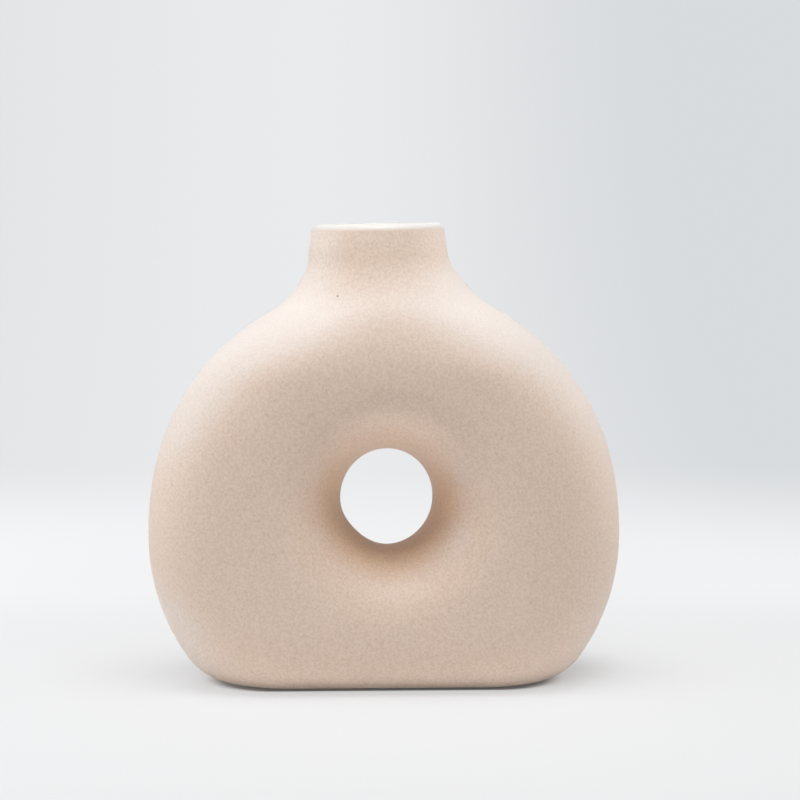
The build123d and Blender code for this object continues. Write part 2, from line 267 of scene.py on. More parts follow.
class VaseStage(bpy.types.PropertyGroup):
    """The camera, and the pale sweep that the vase stands on."""

    # Camera
    distance: length("Camera distance", 1.1, "Camera's distance from the vase's axis")
    height: length("Camera height", 0.2078, "Camera's height above the table")
    azimuth: angle("Camera azimuth", -2.75, "Camera's place round the vase, from the front")
    pitch: angle("Camera pitch", 4.40, "How far the camera looks down")
    aim: angle("Camera aim", 0.334, "How far the camera looks right of the vase's axis")
    roll: angle("Camera roll", 0.15, "How far the camera leans to its left")
    focal_pixels: share("Focal length", 2523.0, "Focal length in pixels of the picture")

    # Paper of the floor and backdrop
    sweep_start: length("Sweep start", 0.90, "Where the floor starts to curve up behind the vase")
    sweep_radius: length("Sweep radius", 0.70, "Radius of the curve from floor to backdrop")
    sweep_count: count("Sweep rows", 32, "Rows up the curve from floor to backdrop")
    sweep_reach: length("Sweep reach", 30.0, "Half width and front reach of the floor")
    sweep_height: length("Sweep height", 3.0, "Height of the backdrop")
    sweep: colour("Sweep", (0.83, 0.835, 0.845), "Paper of the floor and backdrop")
    fibre: length("Fibre", 0.002, "Spacing of the fibres in the paper")
    fibre_share: share("Fibre strength", 0.04, "How strongly the fibres show")
    paper_roughness: share("Paper roughness", 0.9, "Roughness of the paper")
    paper_shine: share("Paper shine", 0.1, "Specular level of the paper")

    # Light through the floor
    floor_glow: colour("Floor glow", (0.888, 0.892, 0.90), "Light that comes up through the floor")
    floor_left: colour("Floor left", (0.93, 0.935, 0.948), "The same light at the left")
    floor_share: share("Floor share", 0.66, "How much of the floor's look by the vase is light from below")
    floor_near: length("Floor near", 0.05, "Where the light from below starts to grow behind the vase")
    floor_far: length("Floor far", 0.27, "Where the floor behind the vase is wholly lit from below")
    round_near: length("Round near", 0.30, "Distance from the vase where that light starts to grow")
    round_far: length("Round far", 0.48, "Distance from the vase past which all light is from below")
    # The painted contact shadow under the foot and the painted soft shade behind it
    foot_edge: length("Foot edge", 0.0025, "How far from the foot the light from below is full")
    foot_inside: length("Foot inside", 0.0005, "How far inside the foot's edge the light from below ends")
    foot_spread: length("Foot spread", 0.011, "How far past the foot's ends the floor is shaded")
    foot_soft: share("Foot softness", 0.35, "How much softer the shaded edge gets round the foot's ends")
    foot_light: share("Foot light", 0.10, "Share of the light from below that is left under the foot")
    shade: share("Shade", 0.45, "Share of the light from below that the soft shade behind the foot takes")
    shade_right: length("Shade right", 0.012, "How far right of the foot its soft shade lies")
    shade_back: length("Shade back", 0.033, "How far behind the foot its soft shade lies")
    shade_reach: length("Shade reach", 0.042, "How far past the foot's outline its soft shade reaches")

    # Light through the backdrop, and from all round
    backdrop_left: colour("Backdrop left", (0.775, 0.783, 0.80), "Lit backdrop at the left of the picture")
    backdrop_middle: colour("Backdrop middle", (0.82, 0.828, 0.845), "Lit backdrop behind the vase")
    backdrop_right: colour("Backdrop right", (0.69, 0.71, 0.73), "Lit backdrop at the right of the picture")
    backdrop_half: length("Backdrop half", 0.37, "Half the width of the backdrop in the picture")
    backdrop_start: length("Backdrop start", 0.40, "Where the floor starts to turn into the lit backdrop")
    backdrop_near: length("Backdrop near", 0.17, "How much nearer the backdrop starts at the right")
    backdrop_end: length("Backdrop end", 0.94, "Where the backdrop is wholly lit from behind")
    sky: colour("Sky", (1.0, 1.0, 1.0), "Colour of the light from all round")
    sky_strength: share("Sky strength", 0.01, "Strength of the light from all round")


class Lamp(NamedTuple):
    """A flat soft lamp: its place and size in metres, its turn in degrees and its power in watts."""

    name: str
    place: tuple
    turn: tuple
    width: float
    depth: float
    power: float


# White panels of a light tent round the vase
LAMPS = (
    Lamp("top_panel", place=(0.0, -0.15, 0.72), turn=(0, 0, 0), width=0.5, depth=0.4, power=4.05),
    Lamp("left_strip", place=(-0.25, 0.0, 0.45), turn=(0, 0, 0), width=0.05, depth=0.4, power=0.40),
    Lamp("right_strip", place=(0.25, 0.0, 0.45), turn=(0, 0, 0), width=0.05, depth=0.4, power=0.32),
    Lamp("left_wall", place=(-0.5, 0.12, 0.14), turn=(0, -90, 0), width=0.28, depth=0.66, power=0.82),
    Lamp("right_wall", place=(0.5, 0.16, 0.18), turn=(0, 90, 0), width=0.36, depth=0.58, power=0.71),
    Lamp("front_card", place=(0.0, -1.4, 0.25), turn=(90, 0, 0), width=1.2, depth=0.5, power=2.65),
)


def chord(radius, offset):
    """Half the chord of a circle at an offset from its centre."""
    return math.sqrt(max(0.0, radius**2 - offset**2))


def ease(value, start, end):
    """Smooth step from 0 at start to 1 at end."""
    part = min(1.0, max(0.0, (value - start) / (end - start)))
    return (1 - math.cos(math.pi * part)) / 2


def spread(spans):
    """Evenly spaced places from -1 to 1, with this many spans between them."""
    return np.linspace(-1, 1, spans + 1)


class VaseForm:
    """The vase's surfaces as tangent arcs, each set in from the outside by an inset."""

    CIRCLE_TURN = math.radians(45)

    def __init__(self, sizes):
        self.s = s = sizes
        self.widest_z = s.base + s.widest
        self.flare = s.crest - s.throat
        self.flat_bottom = s.throat_z - s.crest - s.flat_margin
        self.flat_top = s.throat_z + s.crest + s.flat_margin
        self.foot_depth = s.half_depth - s.foot_tuck

        # Centres of the outline's arcs
        self.lower_x = s.half_width - s.lower_side
        self.corner_z = s.base + s.foot_corner
        self.corner_drop = (self.widest_z - self.corner_z) / (s.lower_side - s.foot_corner)
        self.corner_x = self.lower_x + (s.lower_side - s.foot_corner) * chord(1, self.corner_drop)
        self.upper_x = s.half_width - s.upper_side
        self.upper_sine = s.upper_rise / s.upper_side
        self.shoulder_x = self.upper_x + (s.upper_side - s.shoulder) * chord(1, self.upper_sine)
        self.shoulder_z = self.widest_z + (s.upper_side - s.shoulder) * self.upper_sine
        self.sweep_x = s.neck + s.neck_sweep
        sweep_reach = s.shoulder + s.neck_sweep
        self.neck_top = self.shoulder_z + chord(sweep_reach, self.sweep_x - self.shoulder_x)
        self.shoulder_sine = (self.neck_top - self.shoulder_z) / sweep_reach

        # The front's two arcs above the flat face
        self.rise = self.neck_top - self.flat_top
        travel = s.half_depth - s.neck
        self.bend_reach = (self.rise**2 + travel**2) / (2 * travel)
        self.bulge = self.bend_reach * s.bend_share
        self.hollow = self.bend_reach - self.bulge

        # The half-round lip
        self.lip_z = self.neck_top + s.neck_straight
        self.lip = (s.wall + s.glaze) / 2
        self.lip_middle = s.neck - self.lip

    def half_width(self, z, inset):
        """Half the body's width at a height."""
        s = self.s
        arcs = (
            (self.corner_x, self.corner_z, s.foot_corner - inset, 1, -self.corner_drop),
            (self.lower_x, self.widest_z, s.lower_side - inset, 1, 0),
            (self.upper_x, self.widest_z, s.upper_side - inset, 1, self.upper_sine),
            (self.shoulder_x, self.shoulder_z, s.shoulder - inset, 1, self.shoulder_sine),
            (self.sweep_x, self.neck_top, s.neck_sweep + inset, -1, 0),
        )
        for centre_x, centre_z, radius, side, end_sine in arcs:
            if z <= centre_z + radius * end_sine:
                break
        return centre_x + side * chord(radius, z - centre_z)

    def half_depth(self, z, inset):
        """Half the body's depth at a height: tucked under at the foot, flat, then bent in to the neck."""
        s = self.s
        if z < self.flat_bottom:
            drop_share = (self.flat_bottom - z) / (self.flat_bottom - s.base - inset)
            return self.foot_depth + (s.foot_tuck - inset) * chord(1, drop_share)
        if z <= self.flat_top:
            return s.half_depth - inset
        if z <= self.flat_top + (self.bulge - inset) * self.rise / self.bend_reach:
            return s.half_depth - self.bulge + chord(self.bulge - inset, z - self.flat_top)
        return s.neck + self.hollow - chord(self.hollow + inset, self.neck_top - z)

    def ring(self, z, inset):
        """Points round the body at a height, from the front's left corner by the right."""
        s = self.s
        width = self.half_width(z, inset)
        depth = self.half_depth(z, inset)
        rise_share = (z - self.flat_top) / self.rise
        lean = -s.neck_lean * ease(rise_share, s.lean_start_share, s.lean_end_share)
        turn = self.CIRCLE_TURN * ease(rise_share, 0, 1)
        across = spread(s.front_count)
        round_end = spread(s.end_count)
        if turn > 0:
            offset = (width - depth) / (math.sin(turn) + math.cos(turn) - 1)
            end_x = offset * math.sin(turn)
            end_radius = width - end_x
            front_radius = end_radius + offset
            front_x = front_radius * np.sin(turn * across)
            front_y = offset * math.cos(turn) - front_radius * np.cos(turn * across)
            sweep = (math.pi / 2 - turn) * round_end
            right_x = end_x + end_radius * np.cos(sweep)
            right_y = end_radius * np.sin(sweep)
        else:
            flat = chord(s.crest + s.flat_margin, z - s.throat_z)
            reach = min(depth, width - flat)
            front_x = (width - reach) * across
            front_y = np.full_like(across, -depth)
            right_x = width - reach + reach * np.cos(math.pi / 2 * round_end)
            right_y = depth * np.sin(math.pi / 2 * round_end)
        taper = self.taper(z)
        hollow = s.neck_hollow * (1 - ease(abs(z - s.hollow_z), 0, s.hollow_reach))
        narrow = 1 - (taper + hollow) / width
        shallow = 1 - taper / depth
        front = (front_x * narrow, front_y * shallow)
        right = (right_x * narrow, right_y * shallow)
        return self.whole_ring(front, right, lean, z)

    def taper(self, z):
        """How much the neck has narrowed at a height."""
        start = self.s.taper_start
        return self.s.neck_taper * (max(0.0, z - start) / (self.lip_z - start)) ** 2

    def whole_ring(self, front, right, lean, z):
        """Front and right end, each without its last point, and the same again turned by half a turn."""
        half_x, half_y = (np.concatenate([front[axis][:-1], right[axis][:-1]]) for axis in (0, 1))
        plan_x = np.concatenate([half_x, -half_x])
        plan_y = np.concatenate([half_y, -half_y])
        tilt = math.tan(self.s.lip_tilt) * ease(z, self.flat_top, self.neck_top)
        return np.column_stack([plan_x + lean, plan_y, z + tilt * plan_x])

    def neck_ring(self, radius, z):
        """Points round the neck's own axis, spread as on the body's top ring."""
        radius -= self.taper(z)
        across = self.CIRCLE_TURN * spread(self.s.front_count)
        sweep = self.CIRCLE_TURN * spread(self.s.end_count)
        front = (radius * np.sin(across), -radius * np.cos(across))
        right = (radius * np.cos(sweep), radius * np.sin(sweep))
        return self.whole_ring(front, right, -self.s.neck_lean, z)

    def slot_ring(self, half_length, half_depth, z):
        """Points round a flat-sided slab with round ends."""
        straight = half_length - half_depth
        across = spread(self.s.front_count)
        sweep = math.pi / 2 * spread(self.s.end_count)
        front = (straight * across, np.full_like(across, -half_depth))
        right = (straight + half_depth * np.cos(sweep), half_depth * np.sin(sweep))
        return self.whole_ring(front, right, 0, z)

    def lip_rings(self, inset):
        """Rings over the lip, from its outside to its inside, set in from the glaze by an inset."""
        radius = self.lip - inset
        turns = np.linspace(0, math.pi, self.s.lip_count + 1)
        return [
            self.neck_ring(self.lip_middle + radius * math.cos(turn), self.lip_z + radius * math.sin(turn))
            for turn in turns
        ]

    def throat_change(self, rays):
        """How much wider the hole is along rays from its axis: off the middle, tall and flattened once."""
        s = self.s
        turns = np.arctan2(rays[:, 1], rays[:, 0])
        away = np.abs((turns - s.dent_angle + math.pi) % (2 * math.pi) - math.pi)
        dent = np.where(away < s.dent_width, (1 + np.cos(math.pi * away / s.dent_width)) / 2, 0)
        offset = s.throat_right * np.cos(turns) - s.throat_down * np.sin(turns)
        return s.throat_growth + offset - s.throat_stretch * np.cos(2 * turns) - s.throat_dent * dent

    def hole_ring(self, rays, radius, y):
        """Points along rays from the hole's axis, at one radius or at one for each ray."""
        heights = self.s.throat_z + radius * rays[:, 1]
        return np.column_stack([radius * rays[:, 0], np.full(len(rays), y), heights])


class Surface:
    """Points and quads of one mesh, laid down row by row."""

    def __init__(self, form=None):
        self.form = form
        self.points = []
        self.faces = []

    def row(self, points):
        """Adds a row of points and gives their numbers."""
        start = len(self.points)
        self.points.extend(tuple(point) for point in points)
        return list(range(start, len(self.points)))

    def strip(self, near, far, closed=True):
        """Quads between two rows of as many points."""
        spans = len(near) if closed else len(near) - 1
        for here in range(spans):
            there = (here + 1) % len(near)
            self.faces.append((near[here], near[there], far[there], far[here]))

    def strips(self, rows, closed=True):
        """Quads between each row and the next."""
        for near, far in zip(rows, rows[1:]):
            self.strip(near, far, closed)

    def sides(self, ring):
        """A closed ring as its front, right end, back and left end, which share their corners."""
        s = self.form.s
        corners = np.cumsum([0, s.front_count, s.end_count, s.front_count, s.end_count])
        loop = ring + ring[:1]
        return [loop[start : end + 1] for start, end in zip(corners, corners[1:])]

    def cap(self, ring):
        """Closes a flat ring with quads from front to back and across the round ends."""
        front, right, back, left = self.sides(ring)
        self.strip(front, back[::-1], closed=False)
        for end in (right, left):
            middle = len(end) // 2
            self.strip(end[: middle + 1], end[: middle - 1 : -1], closed=False)

    def face_with_flare(self, edge, crest_y):
        """Flat rings from a flat face's edge to the flare's crest: gives the crest and the rays to it."""
        form = self.form
        places = np.array([self.points[number] for number in edge])
        rays = places[:, (0, 2)] - (0, form.s.throat_z)
        rays /= np.linalg.norm(rays, axis=1)[:, None]
        crest = form.hole_ring(rays, form.s.crest, crest_y)
        rows = [edge]
        for step in range(1, form.s.face_count + 1):
            part = step / form.s.face_count
            rows.append(self.row(places * (1 - part) + crest * part))
        self.strips(rows)
        return rows[-1], rays

    def skin(self, inset):
        """A skin of the body with its flared hole, set in by an inset: gives its foot and neck rings."""
        form = self.form
        s = form.s
        foot_rise = form.flat_bottom - s.base - inset
        foot_turns = np.linspace(0, math.pi / 2, s.foot_count + 1)
        foot_heights = form.flat_bottom - foot_rise * np.cos(foot_turns)
        foot = [self.row(form.ring(z, inset)) for z in foot_heights]
        shoulder_heights = np.linspace(form.flat_top, form.neck_top, s.shoulder_count + 1)
        shoulder = [self.row(form.ring(z, inset)) for z in shoulder_heights]
        self.strips(foot)
        self.strips(shoulder)

        # The two round ends beside the flat faces
        low_front, low_right, low_back, low_left = self.sides(foot[-1])
        top_front, top_right, top_back, top_left = self.sides(shoulder[0])
        right_rows = [low_right]
        left_rows = [low_left]
        for z in np.linspace(form.flat_bottom, form.flat_top, s.band_count + 1)[1:-1]:
            ring = form.ring(z, inset)
            start = s.front_count
            right_rows.append(self.row(ring[start : start + s.end_count + 1]))
            left_rows.append(self.row(np.vstack([ring[2 * start + s.end_count :], ring[:1]])))
        right_rows.append(top_right)
        left_rows.append(top_left)
        self.strips(right_rows, closed=False)
        self.strips(left_rows, closed=False)

        # The flat faces, and the flare from one crest to the other
        inner_right = right_rows[1:-1]
        inner_left = left_rows[1:-1]
        front_edge = low_front + [row[0] for row in inner_right]
        front_edge += top_front[::-1] + [row[-1] for row in inner_left[::-1]]
        back_edge = low_back[::-1] + [row[-1] for row in inner_right]
        back_edge += top_back + [row[0] for row in inner_left[::-1]]
        depth = s.half_depth - inset
        front_crest, rays = self.face_with_flare(front_edge, -depth)
        back_crest, rays = self.face_with_flare(back_edge, depth)
        rows = [front_crest]
        reach = form.flare - inset - form.throat_change(rays)
        for turn in np.linspace(0, math.pi, s.flare_count + 1)[1:-1]:
            radius = s.crest - reach * math.sin(turn)
            rows.append(self.row(form.hole_ring(rays, radius, -depth * math.cos(turn))))
        rows.append(back_crest)
        self.strips(rows)
        return foot[0], shoulder[-1]

    def mesh(self, name):
        """The surface as a mesh."""
        made = bpy.data.meshes.new(name)
        made.from_pydata(self.points, [], self.faces)
        return made

    def piece(self, name, material, crease):
        """The surface as an object, with faces that look outwards and are smooth between its creases."""
        mesh = self.mesh(name)
        work = bmesh.new()
        work.from_mesh(mesh)
        bmesh.ops.recalc_face_normals(work, faces=work.faces)
        work.to_mesh(mesh)
        work.free()
        mesh.shade_smooth()
        mesh.set_sharp_from_angle(angle=crease)
        mesh.materials.append(material)
        return put(name, mesh)


def put(name, data):
    """Puts a mesh, a lamp or a camera into the scene as an object."""
    holder = bpy.data.objects.new(name, data)
    bpy.context.scene.collection.objects.link(holder)
    return holder


def seat(piece, slot, *nodes):
    """The piece rides on the vase and stands in for its solids, which it hides; its slot is not used."""
    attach(piece, "root")
    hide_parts(*nodes)


class Socket:
    """An output socket that adds Math nodes when it is used in an expression."""

    def __init__(self, graph, socket):
        self.graph = graph
        self.socket = socket

    def __add__(self, other):
        return self.graph.math("ADD", self, other)

    def __radd__(self, other):
        return self.graph.math("ADD", other, self)

    def __sub__(self, other):
        return self.graph.math("SUBTRACT", self, other)

    def __rsub__(self, other):
        return self.graph.math("SUBTRACT", other, self)

    def __mul__(self, other):
        return self.graph.math("MULTIPLY", self, other)

    def __rmul__(self, other):
        return self.graph.math("MULTIPLY", other, self)


class Outputs:
    """A node's outputs by name or number, as sockets for expressions."""

    def __init__(self, graph, node):
        self.graph = graph
        self.node = node

    def __getitem__(self, key):
        return Socket(self.graph, self.node.outputs[key])


class Graph:
    """A material's or world's node tree, cleared and ready for nodes."""

    def __init__(self, owner):
        owner.use_nodes = True
        self.tree = owner.node_tree
        self.tree.nodes.clear()

    def node(self, kind, settings=None, inputs=None):
        """Adds a node: its settings first, then its sockets' values or links."""
        made = self.tree.nodes.new(kind)
        for key, value in (settings or {}).items():
            setattr(made, key, value)
        for key, value in (inputs or {}).items():
            if isinstance(value, Socket):
                self.tree.links.new(value.socket, made.inputs[key])
            else:
                made.inputs[key].default_value = value
        return Outputs(self, made)

    def math(self, operation, *values):
        """A sum, a product or another result of a Math node."""
        return self.node("ShaderNodeMath", {"operation": operation}, dict(enumerate(values)))[0]

    def position(self):
        """Place on the surface in the vase's own frame, in metres."""
        return self.node("ShaderNodeTexCoord")["Object"]

    def facing(self):
        """The way that the surface faces in the vase's own frame."""
        return self.node("ShaderNodeTexCoord")["Normal"]

    def split(self, vector):
        """A vector's parts, by the names X, Y and Z."""
        return self.node("ShaderNodeSeparateXYZ", None, {"Vector": vector})

    def noise(self, place, spacing, detail=2):
        """Soft noise between 0 and 1 with features of about the given spacing."""
        inputs = {"Vector": place, "Scale": 1 / spacing, "Detail": detail}
        return self.node("ShaderNodeTexNoise", None, inputs)["Fac"]

    def smooth(self, value, low, high):
        """Smooth step of a value, from 0 at low to 1 at high."""
        settings = {"interpolation_type": "SMOOTHSTEP"}
        inputs = {"Value": value, "From Min": low, "From Max": high}
        return self.node("ShaderNodeMapRange", settings, inputs)["Result"]

    def blend(self, factor, first, second):
        """Mix of two colours, through the Mix node's colour sockets, which have the numbers 6, 7 and 2."""
        inputs = {0: factor, 6: rgba(first), 7: rgba(second)}
        return self.node("ShaderNodeMix", {"data_type": "RGBA"}, inputs)[2]

    def apart(self, across, up):
        """Distance from two offsets at right angles."""
        offset = self.node("ShaderNodeCombineXYZ", None, {"X": across, "Y": up})["Vector"]
        return self.node("ShaderNodeVectorMath", {"operation": "LENGTH"}, {0: offset})["Value"]

    def past_end(self, across, straight):
        """Distance past either end of a straight length, 0 along it."""
        return self.math("MAXIMUM", self.math("ABSOLUTE", across) - straight, 0)

    def bump(self, height, distance, strength):
        """Normal of a surface with a relief."""
        inputs = {"Height": height, "Distance": distance, "Strength": strength}
        return self.node("ShaderNodeBump", None, inputs)["Normal"]

    def principled(self, **inputs):
        """A Principled shader: underscores in the names stand for spaces."""
        sockets = {key.replace("_", " "): value for key, value in inputs.items()}
        return self.node("ShaderNodeBsdfPrincipled", None, sockets)["BSDF"]

    def surface(self, shader):
        """Makes a shader the material's surface."""
        self.node("ShaderNodeOutputMaterial", None, {"Surface": shader})


def rgba(value):
    """A colour property as four numbers, or a socket as it is."""
    return value if isinstance(value, Socket) else (*value, 1.0)


def new_material(name):
    """An empty material and its graph."""
    material = bpy.data.materials.new(name)
    return material, Graph(material)


def clay_material(finish, form):
    """Matte blush stoneware with sand and one iron speck, paler below the lip, with painted highlights,
    edge light and bounce light.
    """
    s = form.s
    material, graph = new_material("sanded_clay")
    place = graph.position()
    axes = graph.split(place)
    height = axes["Z"]
    facing = graph.split(graph.facing())
    upward = facing["Z"]

    # Painted highlight: a paler, greyer tone where the upper body faces up towards the top light
    high = graph.smooth(height, finish.highlight_low, finish.highlight_high)
    painted_highlight = graph.smooth(upward, finish.highlight_steep, finish.highlight_level) * high
    tone = graph.blend(painted_highlight, finish.clay, finish.painted_highlight)

    # Painted bounce light: deeper blush in the hole, and paler clay where the surface faces down to the
    # floor; paler also just below the lip
    from_axis = graph.apart(axes["X"], height - s.throat_z)
    bounce_in_hole = graph.smooth(from_axis, finish.bounce_edge, finish.bounce_full)
    tone = graph.blend(bounce_in_hole, tone, finish.hollow)
    near_lip = graph.smooth(height, form.lip_z - finish.lip_reach, form.lip_z) * finish.lip_share
    # The floor's painted bounce light on what faces down
    under = graph.smooth(upward, -finish.floor_bounce_start, -finish.floor_bounce_end) * finish.floor_bounce_share
    tone = graph.blend(near_lip + under, tone, finish.pale)

    # Painted edge light: a whitish sheen on the ends where they slope, stronger at the left, on the sides
    # of the neck and on the hole's lower edge
    left = graph.smooth(facing["X"], -finish.edge_light_start, -finish.edge_light_full) * finish.edge_light_left
    right = graph.smooth(facing["X"], finish.edge_light_start, finish.edge_light_full) * finish.edge_light_right
    on_neck = graph.smooth(height, s.hollow_z - s.hollow_reach, s.hollow_z)
    full_slope = finish.edge_light_slope**2
    sloping = graph.smooth(upward * upward + on_neck * full_slope, 0, full_slope)
    on_ends = (left + right) * (finish.edge_light_level + (1 - finish.edge_light_level) * sloping)
    on_edge = graph.smooth(upward, finish.edge_light_start, finish.edge_light_full) * (1 - high) * finish.edge_light_up
    tone = graph.blend((on_ends + on_edge) * (1 - bounce_in_hole), tone, finish.painted_edge_light)

    # Soft patches, dark grains and the iron speck
    fine = graph.noise(place, finish.grain, detail=0)
    coarse = graph.noise(place, finish.grit, detail=0)
    mottle = graph.noise(place, finish.mottle, detail=3)
    sand = graph.smooth(fine, *finish.sand_levels)
    grit = graph.smooth(coarse, *finish.grit_levels)
    tone = graph.blend(mottle * finish.chalk_share, tone, finish.clay_light)
    grains = sand * finish.sand_share + grit * finish.grit_share
    tone = graph.blend(grains * (1 - finish.highlight_cover * painted_highlight), tone, finish.clay_dark)
    from_speck = graph.apart(axes["X"] - finish.speck_x, height - finish.speck_z)
    in_front = graph.smooth(axes["Y"], 0, -form.lip)
    speck = graph.smooth(from_speck, finish.speck, finish.speck_core) * in_front
    tone = graph.blend(speck * finish.speck_share, tone, finish.iron)

    shader = graph.principled(
        Base_Color=tone,
        Roughness=finish.clay_roughness + finish.mottle_roughness * mottle - finish.sand_smoothness * sand,
        Normal=graph.bump(fine + finish.grit_relief * coarse, finish.relief, finish.relief_share),
        Specular_IOR_Level=finish.clay_shine,
        Sheen_Weight=finish.clay_sheen,
        Sheen_Roughness=finish.sheen_roughness,
    )
    graph.surface(shader)
    return material


def bare_clay_material(finish):
    """Unglazed fired clay with open sand, for the underside."""
    material, graph = new_material("bare_clay")
    place = graph.position()
    fine = graph.noise(place, finish.slab_grain)
    mottle = graph.noise(place, finish.slab_mottle, detail=3)
    sand = graph.smooth(fine, *finish.slab_levels)
    tone = graph.blend(mottle * finish.slab_chalk, finish.bare_clay, finish.clay_light)
    shader = graph.principled(
        Base_Color=graph.blend(sand * finish.slab_sand, tone, finish.clay_dark),
        Roughness=finish.slab_roughness + finish.slab_unevenness * mottle,
        Normal=graph.bump(fine, finish.slab_relief, finish.slab_relief_share),
        Specular_IOR_Level=finish.dull_shine,
    )
    graph.surface(shader)
    return material


def white_glaze_material(finish, form):
    """White glaze, thinner at its edge below the lip, where the clay shows through."""
    s = form.s
    material, graph = new_material("white_glaze")
    place = graph.position()
    axes = graph.split(place)
    pool = graph.noise(place, finish.pool)
    fleck = graph.smooth(graph.noise(place, finish.fleck, detail=1), *finish.fleck_levels)
    tone = graph.blend(pool * finish.pool_share, finish.white, finish.clay_light)
    tone = graph.blend(fleck * finish.fleck_share, tone, finish.clay_dark)

    # The thin edge follows the tilted lip round its outside, and wanders up and down
    wander = graph.noise(place, finish.wave) * finish.wave_height - finish.wave_height / 2
    above_edge = axes["Z"] - form.lip_z - axes["X"] * math.tan(s.lip_tilt) + wander
    from_neck = graph.apart(axes["X"] + s.neck_lean, axes["Y"])
    outside_end = form.lip_middle + form.lip * finish.outside_share
    outside = graph.smooth(from_neck, form.lip_middle, outside_end)
    thin = graph.smooth(above_edge, finish.thin_end, finish.thin_start) * outside

    shader = graph.principled(
        Base_Color=graph.blend(thin, tone, finish.thin),
        Roughness=finish.glaze_roughness + finish.pool_roughness * pool,
        Normal=graph.bump(pool, finish.glaze_relief, finish.glaze_relief_share),
        Coat_Weight=finish.glaze_coat,
        Coat_Roughness=finish.coat_roughness,
    )
    graph.surface(shader)
    return material


def rubber_material(finish):
    """Matte moulded rubber with a fine dusty tooth."""
    material, graph = new_material("pad_rubber_matte")
    place = graph.position()
    tooth = graph.noise(place, finish.tooth)
    dust = graph.noise(place, finish.dust, detail=3)
    dusty = graph.smooth(dust, *finish.dust_levels) * finish.dust_share
    shader = graph.principled(
        Base_Color=graph.blend(dusty, finish.rubber, finish.clay),
        Roughness=finish.rubber_roughness + finish.dust_roughness * dust,
        Normal=graph.bump(tooth, finish.tooth_relief, finish.tooth_relief_share),
        Specular_IOR_Level=finish.dull_shine,
    )
    graph.surface(shader)
    return material


def sweep_material(stage, foot_length, foot_depth):
    """Pale seamless paper, lit through from below and behind for the camera, with a painted contact shadow
    under the foot and a painted soft shadow behind it.
    """
    material, graph = new_material("paper_sweep")
    place = graph.position()
    axes = graph.split(place)
    across = axes["X"]
    back = axes["Y"]
    fibre = graph.noise(place, stage.fibre, detail=3)
    paper = graph.principled(
        Base_Color=graph.blend(fibre * stage.fibre_share, stage.sweep, stage.backdrop_right),
        Roughness=stage.paper_roughness,
        Specular_IOR_Level=stage.paper_shine,
    )

    # Colour of the light through the floor and through the backdrop, from left to right
    to_left = graph.smooth(across, 0, -stage.backdrop_half)
    to_right = graph.smooth(across, 0, stage.backdrop_half)
    floor_glow = graph.blend(to_left, stage.floor_glow, stage.floor_left)
    backdrop_glow = graph.blend(to_left, stage.backdrop_middle, stage.backdrop_left)
    backdrop_glow = graph.blend(to_right, backdrop_glow, stage.backdrop_right)
    backdrop_start = stage.backdrop_start - to_right * stage.backdrop_near
    behind = graph.smooth(back, backdrop_start, stage.backdrop_end)
    glow = graph.blend(behind, floor_glow, backdrop_glow)
    light = graph.node("ShaderNodeEmission", None, {"Color": glow})

    # Share of that light: less by the vase, so that the floor keeps its shadow
    far_behind = graph.smooth(back, stage.floor_near, stage.floor_far)
    far_round = graph.smooth(graph.apart(across, back), stage.round_near, stage.round_far)
    far = graph.math("MAXIMUM", far_behind, far_round)
    lit = stage.floor_share + (1 - stage.floor_share) * far

    # Painted shadow: hardly any of it under the foot, for a dark contact line, and less in a painted soft
    # shade behind the foot
    straight = foot_length - foot_depth
    past_foot = graph.past_end(across, straight + stage.foot_spread)
    from_foot = graph.apart(past_foot, back) - foot_depth
    inside = -stage.foot_inside - past_foot * stage.foot_soft
    clear = stage.foot_light + (1 - stage.foot_light) * graph.smooth(from_foot, inside, stage.foot_edge)
    past_shade = graph.past_end(across - stage.shade_right, straight)
    from_shade = graph.apart(past_shade, back - stage.shade_back) - foot_depth
    open_floor = 1 - stage.shade * graph.smooth(from_shade, stage.shade_reach, 0)

    path = graph.node("ShaderNodeLightPath")
    seen = path["Is Camera Ray"] + path["Is Glossy Ray"] + path["Is Transmission Ray"]
    inputs = {0: seen * clear * open_floor * lit, 1: paper, 2: light["Emission"]}
    graph.surface(graph.node("ShaderNodeMixShader", None, inputs)["Shader"])
    return material


class VASE_OT_body(bpy.types.Operator):
    """Model the clay body with its flared hole, hollow inside, as one fired piece"""

    bl_idname = "vase.body"
    bl_label = "Clay body"

    def execute(self, context):
        sizes = context.scene.vase_sizes
        form = VaseForm(sizes)
        surface = Surface(form)
        foot, neck = surface.skin(0)
        inner_foot, inner_neck = surface.skin(sizes.wall)
        rim = [neck, surface.row(form.neck_ring(sizes.neck, form.lip_z))]
        rim += [surface.row(ring) for ring in form.lip_rings(sizes.glaze)]
        surface.strips(rim + [inner_neck])
        slot_heights = (sizes.base, sizes.base + sizes.wall)
        slot = [surface.row(form.slot_ring(sizes.slab_length, sizes.slab_depth, z)) for z in slot_heights]
        surface.strips([foot, *slot, inner_foot])
        material = clay_material(context.scene.vase_finish, form)
        piece = surface.piece("clay_body", material, sizes.crease)
        seat(piece, "speckled_clay", "front_shell", "rear_shell", "tunnel_sleeve", "neck_collar")
        return {"FINISHED"}


